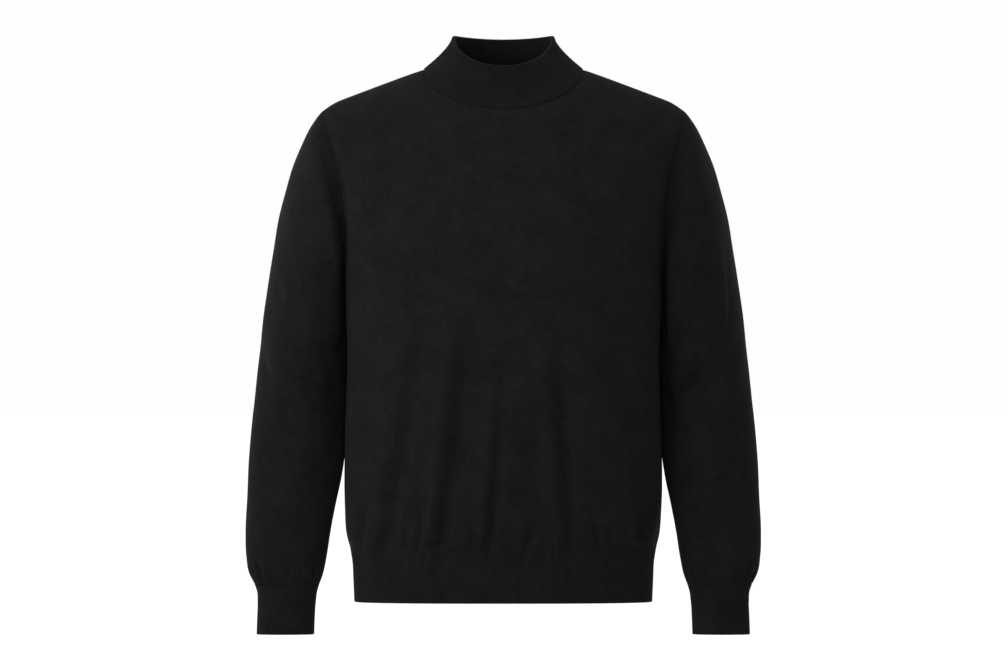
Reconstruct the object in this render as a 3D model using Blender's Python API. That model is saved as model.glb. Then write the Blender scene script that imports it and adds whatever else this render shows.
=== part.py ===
"""Mock neck sweater, hollow, in the form it has when it is worn.

Nine knitted pieces in metres: +Z up, the front towards -Y, the wearer's left at +X. The origin lies
midway between the two neck points, where the shoulder seams meet the collar. Every piece is a thin
closed wall between an outer and an inner face. Both faces come from the same forms: a torso of
squared oval sections that closes to a ridge along the shoulders, sleeves of oval rings that hang
from the armholes, and a collar that narrows from the neckline to its rim.

Solidify is not used for the walls. Each piece would lean its edge by its own corner normals, and
pieces that share a seam would touch. Here both pieces read one wall direction along their seam.
"""

import bmesh
import bpy
import numpy as np

# Cloth
JERSEY_WALL = 0.0020
RIB_WALL = 0.0028
COLLAR_WALL = 0.0045  # the collar is folded double
COLLAR_PROUD = 0.0015  # how far its lower edge stands out over the panels
SEAM_GAP = 0.0003
BENT_SEAM_GAP = 0.00045  # along the neckline and the armholes, whose corners take some of it back

GARMENT = "mock_neck_sweater"
SIDE = {"front": -1, "back": 1}  # which way each face of the torso looks along Y

# Levels, all heights being above the neck points' level
HEM_EDGE = -0.679
HEM_SEAM = -0.611
ARMPIT = -0.270
CHEST_LEVEL = -0.230  # where the front is fullest
BLADE_LEVEL = -0.180  # where the back is fullest

# Shoulders and armholes
SHOULDER_SLOPE = 0.38
SHOULDER_START = 0.092  # where the ridge starts to fall, across from the middle
SHOULDER_BLEND = 0.015
RIDGE_TOP = 0.0015
SOFT_START = 0.085  # the same line with a wider bend, which the faces follow further down
SOFT_BLEND = 0.045
SOFT_TOP = 0.0055
SOFT_FADE = 0.020
TIP_ACROSS = 0.231
TIP_START = 0.205  # from here the ridge rounds down to its tip
TIP_DROP = 0.006
ARM_ROOT = 0.085  # how much wider the form is at the tip than at the armpit
ARM_ROOT_POWER = 1.7
ARMHOLE_STRAIGHT = -0.210  # below this level the armhole seam runs straight down
ARMHOLE_POWER = 1.6
ARMHOLE_BLEND = 0.035  # fall over which a sleeve leaves the armhole's bowed line
ARMHOLE_SINK = 0.006  # how far the seam lies in, at the middle of the front and of the back

# Collar
NECK_HALF = 0.100
NECK_DROP_FRONT = 0.051
NECK_DROP_BACK = 0.011
RIM_HALF = 0.0650
RIM_DEPTH = 0.0570
RIM_BACKWARD = 0.004
RIM_SIDE_HEIGHT = 0.0390
RIM_DROP_FRONT = 0.0405
RIM_DROP_BACK = 0.0045
RIM_BEND = 0.12  # how gently the rim turns down from the sides to the front
FLARE_SIDE = 1.4  # power of the trumpet curve from neckline to rim
FLARE_MIDDLE = 1.15

# Grid. Pieces that share a seam have the same points along it.
NECK_COLUMNS = 7  # in a quarter of the neckline
SHOULDER_COLUMNS = 6
BODY_ROWS = (HEM_SEAM, -0.595, -0.565, -0.510, -0.450, -0.390, -0.330, ARMPIT)
WELT_ROWS = 3
ROUND_SLEEVE = 22
COLLAR_ROWS = 4
ROLL_STEPS = 4

# Which way the walls run through the cloth along the bent seams, before it is made a unit length
NECK_WALL_OUT = 0.4  # away from the middle, at the sides
NECK_WALL_FORWARD = 0.9  # forwards or backwards, at the front and the back
NECK_WALL_UP_FRONT = 0.47
NECK_WALL_UP_BACK = 0.37
NECK_WALL_UP_SIDE = 0.92
ARMHOLE_WALL_OUT = 0.6
ARMHOLE_WALL_OUT_TIP = 0.2  # how much more at the shoulder tip
ARMHOLE_WALL_OUT_PIT = 0.4  # and at the armpit
ARMHOLE_WALL_REACH = 8  # power that keeps both close to their ends
CUFF_WALL_DOWN = 0.3

SMOOTH_ANGLE = 50  # degrees, above which an edge is shaded sharp
CLOTH = (0.0105, 0.0105, 0.0125, 1.0)
CLOTH_ROUGHNESS = 0.85


def table(columns, *rows):
    """Named columns from rows of numbers."""
    return dict(zip(columns.split(), np.array(rows, float).T))


# Torso sections. at: height; the squareness of a face: 2 is an ellipse, more is boxier.
TORSO = table(
    "at half_width front back square_front square_back",
    (-0.679, 0.1890, 0.1060, 0.1010, 2.55, 2.25),
    (-0.652, 0.1902, 0.1070, 0.1020, 2.55, 2.25),
    (-0.626, 0.1916, 0.1085, 0.1035, 2.55, 2.20),
    (-0.611, 0.1942, 0.1115, 0.1065, 2.55, 2.20),
    (-0.595, 0.1980, 0.1150, 0.1090, 2.60, 2.15),
    (-0.560, 0.2008, 0.1175, 0.1100, 2.60, 2.15),
    (-0.450, 0.2010, 0.1200, 0.1040, 2.60, 2.15),
    (-0.330, 0.2010, 0.1225, 0.1070, 2.55, 2.15),
    (-0.230, 0.2010, 0.1250, 0.1140, 2.50, 2.25),
    (-0.180, 0.2010, 0.1250, 0.1160, 2.50, 2.30),
    (0.002, 0.2010, 0.1250, 0.1160, 2.50, 2.40),
)

# How roundly each face rolls over to the shoulder ridge. at: distance across from the middle.
ROLL_OVER = table(
    "at front back",
    (0.000, 1.78, 2.60),
    (0.050, 1.70, 2.42),
    (0.100, 1.58, 2.15),
    (0.150, 1.56, 2.04),
    (0.200, 1.60, 2.00),
    (0.320, 1.60, 2.00),
)

# Sleeve rings. at: fall of the outer line from the shoulder tip; outer and inner: distances across;
# inner_height: height of the inner line; depth: half the ring's front to back size; centre: its y;
# roundness: 2 is an oval, less lets the half beside the torso fall away from the front sooner.
SLEEVE = table(
    "at outer inner inner_height depth centre roundness",
    (0.000, 0.2310, 0.2010, -0.2700, 0.0680, 0.0000, 2.00),
    (0.007, 0.2365, 0.2030, -0.2705, 0.0650, 0.0000, 2.00),
    (0.020, 0.2450, 0.2019, -0.2760, 0.0660, 0.0018, 1.90),
    (0.042, 0.2560, 0.2012, -0.2850, 0.0680, 0.0085, 1.78),
    (0.067, 0.2665, 0.2008, -0.2970, 0.0690, 0.0140, 1.68),
    (0.099, 0.2765, 0.2004, -0.3120, 0.0690, 0.0175, 1.60),
    (0.135, 0.2855, 0.2000, -0.3300, 0.0680, 0.0200, 1.57),
    (0.176, 0.2930, 0.1997, -0.3520, 0.0670, 0.0220, 1.56),
    (0.223, 0.3000, 0.1995, -0.3800, 0.0640, 0.0230, 1.56),
    (0.273, 0.3065, 0.1996, -0.4120, 0.0600, 0.0230, 1.57),
    (0.331, 0.3128, 0.2001, -0.4500, 0.0540, 0.0200, 1.62),
    (0.391, 0.3188, 0.2012, -0.4900, 0.0480, 0.0140, 1.70),
    (0.448, 0.3233, 0.2062, -0.5250, 0.0430, 0.0070, 1.80),
    (0.493, 0.3261, 0.2133, -0.5580, 0.0400, 0.0010, 1.90),
    (0.533, 0.3275, 0.2196, -0.5920, 0.0370, -0.0040, 1.96),
    (0.563, 0.3267, 0.2240, -0.6210, 0.0340, -0.0080, 2.00),
    (0.586, 0.3224, 0.2288, -0.6440, 0.0300, -0.0105, 2.00),
    (0.599, 0.3155, 0.2335, -0.6570, 0.0270, -0.0120, 2.00),
)

# Cuff rings. at: height.
CUFF = table(
    "at outer inner depth centre roundness",
    (-0.720, 0.3128, 0.2398, 0.0250, -0.0165, 2.0),
    (-0.698, 0.3120, 0.2391, 0.0247, -0.0150, 2.0),
    (-0.677, 0.3115, 0.2377, 0.0247, -0.0135, 2.0),
    (-0.664, 0.3126, 0.2358, 0.0255, -0.0125, 2.0),
    (-0.657, 0.3155, 0.2335, 0.0270, -0.0120, 2.0),
)

# The largest folds, each from a foot up to a head. across and height are places on the panel, seen
# from the front; the cloth swells on the fold's -X side and sinks by depth on its +X side.
FOLDS = "foot_across foot_height head_across head_height width depth"
FOLDS = {
    "front": table(
        FOLDS,
        (-0.084, -0.611, -0.052, -0.300, 0.016, 0.0030),
        (-0.015, -0.611, -0.004, -0.405, 0.014, 0.0018),
        (0.084, -0.611, 0.064, -0.330, 0.015, 0.0022),
        (-0.154, -0.611, -0.113, -0.440, 0.014, 0.0016),
        (0.174, -0.611, 0.140, -0.330, 0.018, 0.0024),
    ),
    "back": table(
        FOLDS,
        (0.092, -0.611, 0.061, -0.360, 0.016, 0.0024),
        (0.021, -0.611, 0.015, -0.430, 0.014, 0.0018),
        (-0.068, -0.611, -0.052, -0.390, 0.015, 0.0022),
        (-0.148, -0.611, -0.116, -0.400, 0.016, 0.0020),
    ),
}
FOLD_HELD = 0.3  # the share of a fold that is left where the ribbed hem holds the cloth
FOLD_RISE = 0.030  # height above the seam over which it grows to its full depth
FOLD_FALL = 0.018  # and below the seam, over which the rest dies away


def along(rows, column, at):
    """A column's value at a place in the table, on a smooth cubic through its rows."""
    keys, values = rows["at"], rows[column]
    slopes = np.gradient(values, keys)
    at = np.clip(at, keys[0], keys[-1])
    low = np.clip(np.searchsorted(keys, at) - 1, 0, len(keys) - 2)
    step = keys[low + 1] - keys[low]
    part = (at - keys[low]) / step
    start = values[low] + part * step * slopes[low]
    start += part**2 * (3 - 2 * part) * (values[low + 1] - values[low])
    bend = part**2 * (part - 1) * slopes[low + 1] + part**2 * (part - 2) * slopes[low]
    return start + step * bend


def unit(vectors):
    return vectors / np.linalg.norm(vectors, axis=-1, keepdims=True)


# Torso


def falling(across, top, start, blend):
    """A line that runs level, bends down around its start and ends in the shoulder's rounded tip."""
    run = (np.hypot(across - start, blend) + across - start) / 2
    tip = np.clip((across - TIP_START) / (TIP_ACROSS - TIP_START), 0, None)
    return top - SHOULDER_SLOPE * run - TIP_DROP * tip**2


def ridge(across):
    """Height of the shoulder's top line at a distance across from the middle."""
    return falling(across, RIDGE_TOP, SHOULDER_START, SHOULDER_BLEND)


TIP_HEIGHT = float(ridge(TIP_ACROSS))
NECK_HEIGHT = float(ridge(NECK_HALF))


def above_armpit(height):
    """0 at the armpit and below, 1 at the shoulder tip's level."""
    return np.clip((height - ARMPIT) / (TIP_HEIGHT - ARMPIT), 0, None)


def form_half_width(height):
    return along(TORSO, "half_width", height) + ARM_ROOT * above_armpit(height) ** ARM_ROOT_POWER


def form_depth(face, across, height):
    """How far a face's fullest line lies from the side seams' plane."""
    top = ridge(across)
    soft = falling(across, SOFT_TOP, SOFT_START, SOFT_BLEND)
    top = soft + (top - soft) * np.exp(-np.clip(top - height, 0, None) / SOFT_FADE)
    level = CHEST_LEVEL if face == "front" else BLADE_LEVEL
    fall = np.clip((top - height) / (top - level), 0, 1)
    power = along(ROLL_OVER, face, across)
    return along(TORSO, face, height) * (1 - (1 - fall) ** power) ** (1 / power)


def torso_face(face, angle, height):
    """A point of the torso's outer face. angle: 0 at the middle, a right angle at the side seam."""
    power = along(TORSO, f"square_{face}", height)
    reach = (np.abs(np.sin(angle)) ** power + np.abs(np.cos(angle)) ** power) ** (-1 / power)
    x = form_half_width(height) * reach * np.sin(angle)
    y = SIDE[face] * form_depth(face, np.abs(x), height) * reach * np.cos(angle)
    return np.stack([x, y, height + 0 * x], -1)


def angle_at(face, across, height):
    """The angle at which a section of the torso is this far across."""
    power = along(TORSO, f"square_{face}", height)
    part = np.clip((across / form_half_width(height)) ** power, 0, 1 - 1e-9)
    return np.arctan((part / (1 - part)) ** (1 / power))


def edge_across(height):
    """Distance across of a panel's side edge: the side seam, then the armhole."""
    lean = np.clip((height - ARMHOLE_STRAIGHT) / (TIP_HEIGHT - ARMHOLE_STRAIGHT), 0, None)
    armpit = along(TORSO, "half_width", ARMPIT)
    armhole = armpit + (TIP_ACROSS - armpit) * lean**ARMHOLE_POWER
    return np.where(height > ARMPIT, armhole, form_half_width(height))


def neckline(turn):
    """Outer seam line of the neck. turn: 0 at the front's middle, a quarter turn at +X."""
    front = np.cos(turn) > 0
    drop = np.where(front, NECK_DROP_FRONT, NECK_DROP_BACK)
    across = NECK_HALF * np.sin(turn)
    height = NECK_HEIGHT - drop * np.abs(np.cos(turn))
    front_line, back_line = (
        torso_face(face, angle_at(face, np.abs(across), height), height) for face in SIDE
    )
    y = np.where(front, front_line[..., 1], back_line[..., 1])
    return np.stack([across, y, height], -1)


def neck_lean(turn):
    """Direction of the walls along the neckline."""
    middle = np.where(np.cos(turn) > 0, NECK_WALL_UP_FRONT, NECK_WALL_UP_BACK)
    up = middle * np.cos(turn) ** 2 + NECK_WALL_UP_SIDE * np.sin(turn) ** 2
    return unit(np.stack([NECK_WALL_OUT * np.sin(turn), -NECK_WALL_FORWARD * np.cos(turn), up], -1))


def armhole_lean(turn):
    """Direction of the walls along the armhole."""
    tip = ARMHOLE_WALL_OUT_TIP * np.cos(turn / 2) ** ARMHOLE_WALL_REACH
    pit = ARMHOLE_WALL_OUT_PIT * np.sin(turn / 2) ** ARMHOLE_WALL_REACH
    return unit(np.stack([ARMHOLE_WALL_OUT + tip + pit, -np.sin(turn), np.cos(turn)], -1))


def armhole(turn):
    """Outer seam line of the +X armhole. turn: 0 at the shoulder tip, a quarter turn at the front."""
    height = ARMPIT + (TIP_HEIGHT - ARMPIT) * (1 + np.cos(turn)) / 2
    front_line, back_line = (
        torso_face(face, angle_at(face, edge_across(height), height), height) for face in SIDE
    )
    line = np.where(np.sin(turn)[:, None] > 0, front_line, back_line)
    return line - ARMHOLE_SINK * np.sin(turn)[:, None] ** 2 * armhole_lean(turn)


def smooth(share):
    share = np.clip(share, 0, 1)
    return share**2 * (3 - 2 * share)


def folded(face, points):
    """How far the folds move the torso's points outwards."""
    across, height = points[..., 0], points[..., 2]
    moved = np.zeros(across.shape)
    for foot_across, foot_height, head_across, head_height, width, depth in zip(*FOLDS[face].values()):
        run = np.clip((height - foot_height) / (head_height - foot_height), 0, 1)
        aside = (across - foot_across - (head_across - foot_across) * run) / width
        moved -= depth * aside * np.exp((1 - aside**2) / 2) * smooth(2 * (1 - run))
    above = FOLD_HELD + (1 - FOLD_HELD) * smooth((height - HEM_SEAM) / FOLD_RISE)
    below = FOLD_HELD * np.exp(-(((height - HEM_SEAM) / FOLD_FALL) ** 2))
    return moved * np.where(height > HEM_SEAM, above, below)


def grid_normals(grid):
    """Unit normals of a grid of points, towards the columns' direction crossed with the rows'."""
    return unit(np.cross(np.gradient(grid, axis=1), np.gradient(grid, axis=0)))


def ring_normals(rings):
    """The same for a tube whose columns close on themselves."""
    wrapped = np.concatenate([rings[:, -1:], rings, rings[:, :1]], axis=1)
    return grid_normals(wrapped)[:, 1:-1]


def wall(name, outer, lean, thickness, closed=False):
    """A closed wall between a grid of outer points and the same grid moved inwards."""
    inner = outer - thickness * lean
    rows, columns = outer.shape[:2]
    mesh = bmesh.new()
    faces = [
        [[mesh.verts.new(point) for point in row] for row in grid.tolist()] for grid in (outer, inner)
    ]
    last = columns if closed else columns - 1
    for row in range(rows - 1):
        for column in range(last):
            beside = (column + 1) % columns
            for side in faces:
                corners = (side[row][column], side[row][beside])
                mesh.faces.new((*corners, side[row + 1][beside], side[row + 1][column]))
    for row in (0, rows - 1):
        for column in range(last):
            beside = (column + 1) % columns
            skin, lining = faces[0][row], faces[1][row]
            mesh.faces.new((skin[column], skin[beside], lining[beside], lining[column]))
    for column in () if closed else (0, columns - 1):
        for row in range(rows - 1):
            skin, lining = faces
            corners = (skin[row][column], skin[row + 1][column])
            mesh.faces.new((*corners, lining[row + 1][column], lining[row][column]))
    return finish(name, mesh)


def finish(name, mesh):
    """Turns a bmesh into a named object with the cloth's material."""
    bmesh.ops.recalc_face_normals(mesh, faces=mesh.faces)
    data = bpy.data.meshes.new(name)
    mesh.to_mesh(data)
    mesh.free()
    data.shade_smooth()
    data.set_sharp_from_angle(angle=np.radians(SMOOTH_ANGLE))
    data.materials.append(cloth_material(name))
    piece = bpy.data.objects.new(name, data)
    bpy.data.collections[GARMENT].objects.link(piece)
    return piece


def cloth_material(name):
    material = bpy.data.materials.new(f"{name}_knit")
    material.use_nodes = True
    shader = material.node_tree.nodes["Principled BSDF"]
    shader.inputs["Base Color"].default_value = CLOTH
    shader.inputs["Roughness"].default_value = CLOTH_ROUGHNESS
    shader.inputs["Metallic"].default_value = 0.0
    return material


# Body panels and welts


def mirrored(half):
    """A half grid with its mirror image put before it."""
    return np.concatenate([half[:, :0:-1] * (-1, 1, 1), half], axis=1)


def folded_wall(name, face, half, lean, thickness):
    """The wall of both halves of a panel, with its folds. Its side edges stay straight."""
    points, lean = mirrored(half), mirrored(lean)
    points[:, 1:-1] += folded(face, points)[:, 1:-1, None] * lean[:, 1:-1]
    wall(name, points, lean, thickness)


def top_edge(face):
    """Distance across and height of a half panel's top edge: the neckline, then the shoulder."""
    neck = neckline(neck_turns(face))
    shoulder = np.linspace(NECK_HALF, TIP_ACROSS, SHOULDER_COLUMNS + 1)[1:]
    across = np.concatenate([neck[:, 0], shoulder])
    return across, np.concatenate([neck[:, 2], ridge(shoulder)])


def neck_turns(face):
    turn = np.linspace(0, np.pi / 2, NECK_COLUMNS + 1)
    return turn if face == "front" else np.pi - turn


def half_lean(face, points, welt_seam):
    """Wall directions of a half grid that starts at the middle, level along the welt's seam."""
    lean = -SIDE[face] * grid_normals(points)
    lean[:, 0, 0] = 0
    lean[welt_seam, :, 2] = 0
    return unit(lean)


def body_panel(face):
    across, top = top_edge(face)
    share = across / TIP_ACROSS
    below = len(BODY_ROWS) - 1
    turn = np.linspace(np.pi, 0, ROUND_SLEEVE // 2 + 1)
    edge = np.concatenate([BODY_ROWS, armhole(turn)[1:, 2]])[:, None]
    fan = above_armpit(edge)
    spread = angle_at(face, across, top) - share * angle_at(face, TIP_ACROSS, TIP_HEIGHT)
    angle = share * angle_at(face, edge_across(edge), edge) + fan * spread
    points = torso_face(face, angle, edge + fan * (top - TIP_HEIGHT))
    lean = half_lean(face, points, 0)
    lean[:below, -1] = (1, 0, 0)
    lean[below:, -1] = armhole_lean(-SIDE[face] * turn)
    slope = np.gradient(ridge(across), across)[NECK_COLUMNS + 1 : -1]
    lean[-1, NECK_COLUMNS + 1 : -1] = unit(np.stack([-slope, 0 * slope, 0 * slope + 1], -1))
    lean[-1, : NECK_COLUMNS + 1] = neck_lean(neck_turns(face))
    points[below:, -1] = armhole(-SIDE[face] * turn)
    points[0, :, 2] += SEAM_GAP / 2
    points[: below + 1, -1, 1] += SIDE[face] * SEAM_GAP / 2
    points[-1, NECK_COLUMNS:, 1] += SIDE[face] * SEAM_GAP / 2
    folded_wall(face, face, points, lean, JERSEY_WALL)


def welt(face):
    """The ribbed band along the lower edge of a body panel."""
    across, _ = top_edge(face)
    height = np.linspace(HEM_EDGE, HEM_SEAM, WELT_ROWS + 1)[:, None]
    points = torso_face(face, across / TIP_ACROSS * np.pi / 2, height)
    lean = half_lean(face, points, -1)
    lean[:, -1] = (1, 0, 0)
    points[-1, :, 2] -= SEAM_GAP / 2
    points[:, -1, 1] += SIDE[face] * SEAM_GAP / 2
    folded_wall(f"hem_{face}", face, points, lean, RIB_WALL)


# Sleeves and cuffs


def oval(rows, at, inner_height, outer_height, turn):
    """A ring that leans from its outer line down to its inner line."""
    outer, inner, depth, centre, roundness = (
        along(rows, column, at) for column in ("outer", "inner", "depth", "centre", "roundness")
    )
    lean = (1 + np.cos(turn)) / 2
    x = inner + (outer - inner) * lean
    z = inner_height + (outer_height - inner_height) * lean
    power = np.where(np.cos(turn) < 0, roundness, 2)
    bulge = (1 - np.abs(np.cos(turn)) ** power) ** (1 / power)
    return np.stack([x, centre - depth * np.sign(np.sin(turn)) * bulge, z], -1)


def sleeve_face(turn, at):
    """Points of the +X sleeve. turn: 0 along its outer line; at: that line's fall from the tip."""
    rings = oval(SLEEVE, at, along(SLEEVE, "inner_height", at), TIP_HEIGHT - at, turn)
    start = oval(SLEEVE, 0 * at, along(SLEEVE, "inner_height", 0 * at), TIP_HEIGHT, turn)
    fade = np.clip(1 - at / ARMHOLE_BLEND, 0, 1) ** 2
    return rings + fade[..., None] * (armhole(turn) - start)


def step_off(seam, lean):
    """How far a closed, bent seam line moves to clear its neighbour's edge."""
    forward = np.roll(seam, -1, axis=0) - np.roll(seam, 1, axis=0)
    return BENT_SEAM_GAP * unit(np.cross(lean, forward))


def sleeve(name, mirror):
    turn = np.arange(ROUND_SLEEVE) * 2 * np.pi / ROUND_SLEEVE
    at = SLEEVE["at"][:, None]
    points = sleeve_face(turn, at)
    lean = ring_normals(points)
    lean[0] = armhole_lean(turn)
    lean[-1] = cuff_lean(turn)
    points[0] += step_off(points[0], lean[0])
    points[-1, :, 2] += SEAM_GAP / 2
    wall(name, points * mirror, lean * mirror, JERSEY_WALL, closed=True)


def cuff_lean(turn):
    """Direction of the walls along the cuff's seam."""
    return unit(np.stack([np.cos(turn), -np.sin(turn), 0 * turn - CUFF_WALL_DOWN], -1))


def cuff(name, mirror):
    turn = np.arange(ROUND_SLEEVE) * 2 * np.pi / ROUND_SLEEVE
    at = CUFF["at"][::-1, None]
    points = oval(CUFF, at, at, at, turn)
    lean = ring_normals(points)
    lean[0] = cuff_lean(turn)
    points[0, :, 2] -= SEAM_GAP / 2
    wall(name, points * mirror, lean * mirror, RIB_WALL, closed=True)


# Collar


def rim(turn):
    """Where the collar's outer face meets its rolled rim."""
    forward = np.cos(turn)
    front = (forward + np.hypot(forward, RIM_BEND)) / 2
    back = np.clip(-forward, 0, None)
    x = RIM_HALF * np.sin(turn)
    y = RIM_BACKWARD - RIM_DEPTH * forward
    z = RIM_SIDE_HEIGHT - RIM_DROP_FRONT * front - RIM_DROP_BACK * back**2
    return np.stack([x, y, z], -1)


def collar_face(turn, climb):
    """Points of the collar's outer face. climb: 0 at the neckline, 1 where the rim's roll starts."""
    power = FLARE_MIDDLE + (FLARE_SIDE - FLARE_MIDDLE) * np.sin(turn) ** 2
    share = (1 - climb) ** power
    low, high = neckline(turn), rim(turn)
    x, y = (high[:, i] + (low[:, i] - high[:, i]) * share for i in (0, 1))
    return np.stack([x, y, low[:, 2] + (high[:, 2] - low[:, 2]) * climb], -1)


def collar(name):
    turn = np.arange(4 * NECK_COLUMNS) * 2 * np.pi / (4 * NECK_COLUMNS)
    climb = np.linspace(0, 1, COLLAR_ROWS + 1)[:, None]
    skin = collar_face(turn, climb)
    lean = ring_normals(skin)
    lean[0] = neck_lean(turn)
    skin += COLLAR_PROUD * (1 - climb[..., None]) * lean
    skin[0] += step_off(skin[0], lean[0])
    upward = unit(skin[-1] - skin[-2])
    swing = np.linspace(0, np.pi, ROLL_STEPS + 1)[1:-1, None, None]
    roll = np.cos(swing) * lean[-1] + np.sin(swing) * upward
    roll = skin[-1] + COLLAR_WALL / 2 * (roll - lean[-1])
    lining = (skin - COLLAR_WALL * lean)[::-1]
    section = np.concatenate([skin, roll, lining])
    mesh = bmesh.new()
    rings = [[mesh.verts.new(point) for point in ring] for ring in section.tolist()]
    for ring, above in zip(rings, rings[1:] + rings[:1]):
        for column in range(len(ring)):
            beside = (column + 1) % len(ring)
            mesh.faces.new((ring[column], ring[beside], above[beside], above[column]))
    finish(name, mesh)


def main():
    for old in list(bpy.data.objects):
        bpy.data.objects.remove(old, do_unlink=True)
    group = bpy.data.collections.new(GARMENT)
    bpy.context.scene.collection.children.link(group)
    for face in SIDE:
        body_panel(face)
        welt(face)
    for name, mirror in (("left", (1, 1, 1)), ("right", (-1, 1, 1))):
        sleeve(f"sleeve_{name}", mirror)
        cuff(f"cuff_{name}", mirror)
    collar("collar")


main()
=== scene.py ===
"""Mock neck sweater: the looks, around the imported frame.

Nine knitted pieces in metres, +Z up, the front towards -Y, the wearer's left at +X. Each stands in
for the CAD node of the same name. It is a thin closed shell on that node's form, with the creases,
gathers, ribs, sunk seams and rolled edges of the real cloth. The linking stitches along the seams
of the hem, the cuffs and the collar are pieces of their own.
"""

import bpy
import numpy as np
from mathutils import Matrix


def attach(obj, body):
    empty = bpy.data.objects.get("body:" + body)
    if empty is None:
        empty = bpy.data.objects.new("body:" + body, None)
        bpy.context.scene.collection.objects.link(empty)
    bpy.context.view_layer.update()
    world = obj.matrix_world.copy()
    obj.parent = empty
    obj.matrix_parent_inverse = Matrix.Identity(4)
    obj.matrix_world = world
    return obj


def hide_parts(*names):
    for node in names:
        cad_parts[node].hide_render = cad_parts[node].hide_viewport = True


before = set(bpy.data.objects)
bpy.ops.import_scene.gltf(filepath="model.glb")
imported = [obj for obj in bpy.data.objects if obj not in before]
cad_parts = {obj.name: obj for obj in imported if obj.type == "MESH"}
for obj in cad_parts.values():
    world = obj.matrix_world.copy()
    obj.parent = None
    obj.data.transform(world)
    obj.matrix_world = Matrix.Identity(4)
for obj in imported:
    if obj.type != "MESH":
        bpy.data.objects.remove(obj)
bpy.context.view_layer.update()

SIDE = {"front": -1, "back": 1}  # which way each face looks along y
MIRROR = {"left": np.array((1, 1, 1)), "right": np.array((-1, 1, 1))}
MM = 0.001
TINY = 1e-9  # keeps equal places apart

# Cloth
JERSEY_WALL = 0.0020
RIB_WALL = 0.0028
COLLAR_WALL = 0.0045
COLLAR_PROUD = 0.0015  # how far the collar's foot stands out over the neckline
SEAM_GAP = 0.0001  # between pieces that are sewn together, half of it left by each
BENT_SEAM_GAP = 0.0003  # along the neckline and the armholes, left by the collar and the sleeves
SHOULDER_GAP = 0.00003  # closed tight, or light from behind would show along the shoulder

# Levels, all heights being above the neck points' level
HEM_EDGE = -0.679
HEM_SEAM = -0.611
ARMPIT = -0.270
CHEST_LEVEL = -0.230  # from here up the front rolls over to the shoulder
BLADE_LEVEL = -0.180  # and from here the back

# Shoulders: level between the neck points, then bent down, with a rounded tip
SHOULDER_SLOPE = 0.38
SHOULDER_START = 0.092
SHOULDER_BLEND = 0.015
RIDGE_TOP = 0.0015
SOFT_START = 0.085  # the softer line that the faces roll over to until close under the ridge
SOFT_BLEND = 0.045
SOFT_TOP = 0.0055
SOFT_FADE = 0.020
TIP_ACROSS = 0.231
TIP_START = 0.205
TIP_DROP = 0.006

# Armholes
ARM_ROOT = 0.085  # how much the torso's form widens from the armpit up to the shoulder tip
ARM_ROOT_POWER = 1.7
ARMHOLE_STRAIGHT = -0.210  # up to here the armhole runs straight up
ARMHOLE_POWER = 1.6
ARMHOLE_BLEND = 0.060  # how far along the sleeve its rings keep something of the armhole's form
ARMHOLE_SINK = 0.006  # how far the armhole's seam lies in
ARMHOLE_DIP = 0.010  # how far from the armhole a body panel starts to sink towards it

# The valley along an armhole's seam, which is deeper than in the solids
VALLEY_DEPTH = 0.0135
VALLEY_POWER = 0.8
VALLEY_TOP = 0.4  # what is left of its depth at the shoulder tip
VALLEY_WAY = {"left": (0.55, 1.35), "right": (0.22, 1.0)}  # out along the arm, in from the face
VALLEY_BODY = 0.0055  # how far it reaches into a body panel
VALLEY_SLEEVE = {"left": 0.024, "right": 0.016}

# How much fuller a sleeve is close under the armpit, behind its inner line
ARMPIT_FILL = 0.0058
FILL_TURN = 0.38
FILL_SPREAD = 0.20
FILL_AT = 0.040
FILL_REACH = 0.032
FILL_START = 0.002

# How far the sleeves press the torso in between them
TUCK = 0.0028
TUCK_LEVEL = -0.375
TUCK_REACH = 0.060

# Collar
NECK_HALF = 0.100
NECK_DROP_FRONT = 0.051
NECK_DROP_BACK = 0.011
RIM_HALF = 0.0650
RIM_DEPTH = 0.0570
RIM_BACKWARD = 0.004
RIM_SIDE_HEIGHT = 0.0390
RIM_DROP_FRONT = 0.0405
RIM_DROP_BACK = 0.0045
RIM_BEND = 0.12  # how softly the drop to the front sets in
FLARE_SIDE = 1.4  # how hollow the slope from the neckline is
FLARE_MIDDLE = 1.15
COLLAR_HEIGHT = 0.052  # about, for the rows next to its seam

# Which way the walls run through the cloth along the bent seams
NECK_WALL_OUT = 0.4
NECK_WALL_FORWARD = 0.9
NECK_WALL_UP_FRONT = 0.47
NECK_WALL_UP_BACK = 0.37
NECK_WALL_UP_SIDE = 0.92
ARMHOLE_WALL_OUT = 0.6
ARMHOLE_WALL_OUT_TIP = 0.2
ARMHOLE_WALL_OUT_PIT = 0.4
ARMHOLE_WALL_REACH = 8
CUFF_WALL_DOWN = 0.3
LEAN_REACH = 0.010  # how far from a bent seam the walls take its direction
RIB_LEAN_REACH = 0.006
CUFF_LEAN_REACH = 0.004

# Grid
NECK_COLUMNS = 52
SHOULDER_COLUMNS = 44
BODY_ROWS = 96
ARMHOLE_ROWS = 60
SLEEVE_ROWS = 150
ROUND_SLEEVE = 128
HEM_RIB_ROWS = 20
CUFF_RIB_ROWS = 22
COLLAR_RIB_ROWS = 18
RIB_COLUMNS = 6  # in one rib
EDGE_STEPS = np.array((0.0007, 0.0015, 0.0026, 0.0042))  # closer rows, so that a seam can sink in
EDGE_CLEAR = 0.001  # how far behind them the even rows start
EDGE_BAND = 0.006  # the even columns of a body panel stop this far from its side
ROLL_STEPS = 7
FINE_STEPS = 2001  # for measuring along a curve

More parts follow.
